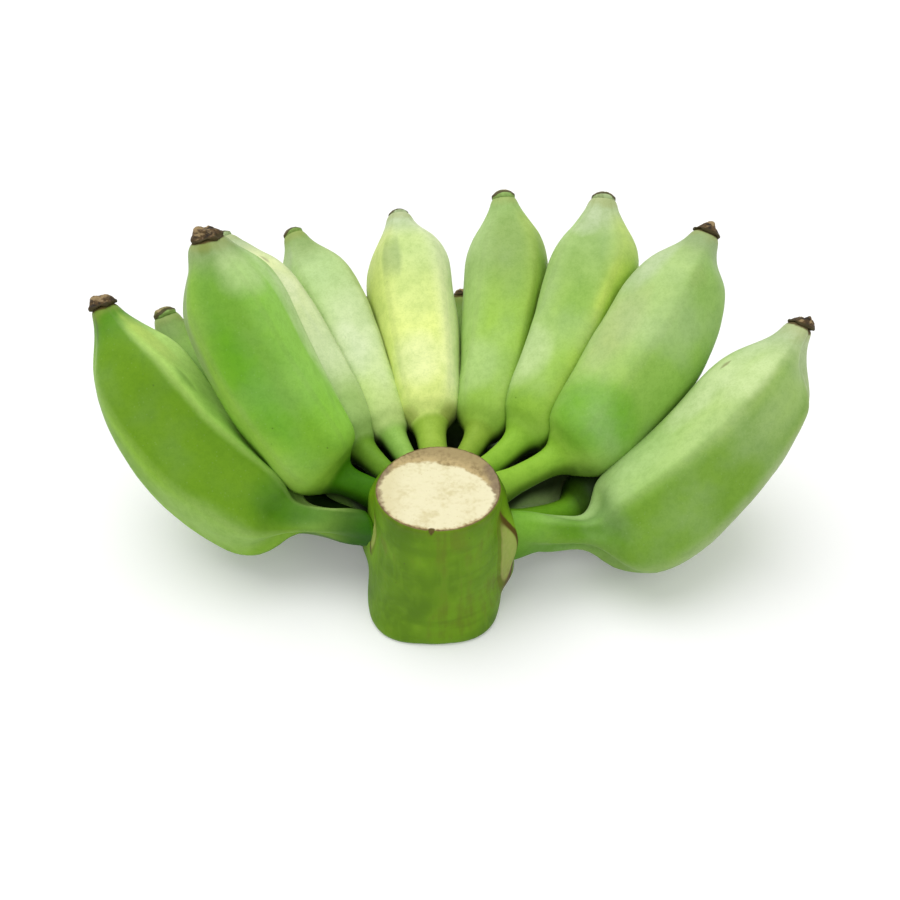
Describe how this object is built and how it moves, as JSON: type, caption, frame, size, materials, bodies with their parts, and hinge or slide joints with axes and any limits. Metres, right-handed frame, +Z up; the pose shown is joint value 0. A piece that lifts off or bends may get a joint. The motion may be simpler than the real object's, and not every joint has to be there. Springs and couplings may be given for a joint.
{
  "type": "hand of green bananas",
  "caption": "Hand of short, plump green bananas in a two-row fan around a cut length of main stalk, with a dry flower end on each tip.",
  "frame": {"origin": "on the ground, under the centre of the hand's bounding box", "axes": "+X to the right, seen from the stalk's side; +Y to the back of the fan; +Z up, along the stalk from its lower cut to its upper cut"},
  "size_m": [0.2858, 0.1714, 0.1344],
  "materials": {
    "stalk": "fleshy green stalk skin with faint upright streaks, and a cream, finely specked cut face",
    "peel_green": "unripe banana peel, waxy, mid green",
    "peel_pale": "unripe banana peel, waxy, with a pale bloom",
    "peel_lime": "banana peel starting to ripen, waxy, yellow-lime",
    "peel_olive": "unripe banana peel, waxy, olive green",
    "flower_end": "dry, crumpled, dark brown flower remnant"
  },
  "bodies": {
    "root": {"stalk": "stalk", "finger_01": "peel_green", "flower_end_01": "flower_end", "finger_02": "peel_pale", "flower_end_02": "flower_end", "finger_03": "peel_pale", "flower_end_03": "flower_end", "finger_04": "peel_lime", "flower_end_04": "flower_end", "finger_05": "peel_green", "flower_end_05": "flower_end", "finger_06": "peel_pale", "flower_end_06": "flower_end", "finger_07": "peel_green", "flower_end_07": "flower_end", "finger_08": "peel_olive", "flower_end_08": "flower_end", "finger_09": "peel_olive", "flower_end_09": "flower_end", "finger_10": "peel_green", "flower_end_10": "flower_end", "finger_11": "peel_pale", "flower_end_11": "flower_end", "finger_12": "peel_green", "flower_end_12": "flower_end", "finger_13": "peel_pale", "flower_end_13": "flower_end", "finger_14": "peel_green", "flower_end_14": "flower_end", "finger_15": "peel_green", "flower_end_15": "flower_end"}
  },
  "joints": []
}
